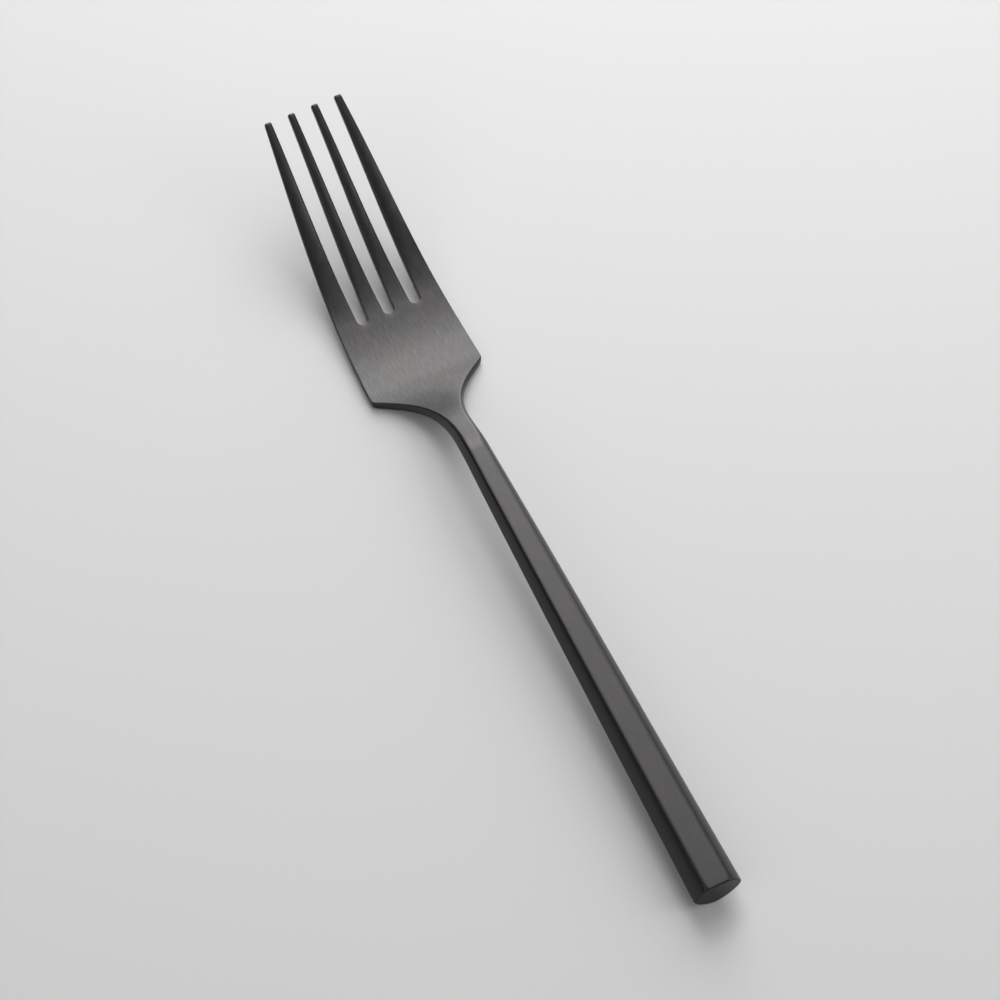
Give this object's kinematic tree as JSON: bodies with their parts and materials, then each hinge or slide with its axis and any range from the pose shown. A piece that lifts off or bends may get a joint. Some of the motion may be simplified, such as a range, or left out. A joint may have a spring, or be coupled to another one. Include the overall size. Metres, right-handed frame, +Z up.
{
  "type": "salad fork",
  "caption": "Salad fork with tapering tines, square shoulders, a slim arched neck and a thick flat-topped bar handle with a square-cut end, for spearing and lifting food.",
  "frame": {"origin": "on the table that the fork rests on, under the middle of its length and width", "axes": "+Y from the butt to the tine tips, +Z up from the table to the fork's hollow side, +X across the tines"},
  "size_m": [0.0246, 0.1848, 0.0233],
  "materials": {
    "black_brushed_steel": "black coating with a satin brushed grain along the fork",
    "black_end_steel": "black coating with a finer, duller grain across the end",
    "handle_filler": "matt cast filler, hidden inside the handle"
  },
  "bodies": {
    "root": {"fork_head": "black_brushed_steel", "handle_upper_shell": "black_brushed_steel", "handle_lower_shell": "black_brushed_steel", "butt_cap": "black_end_steel", "handle_filler": "handle_filler"}
  },
  "joints": []
}
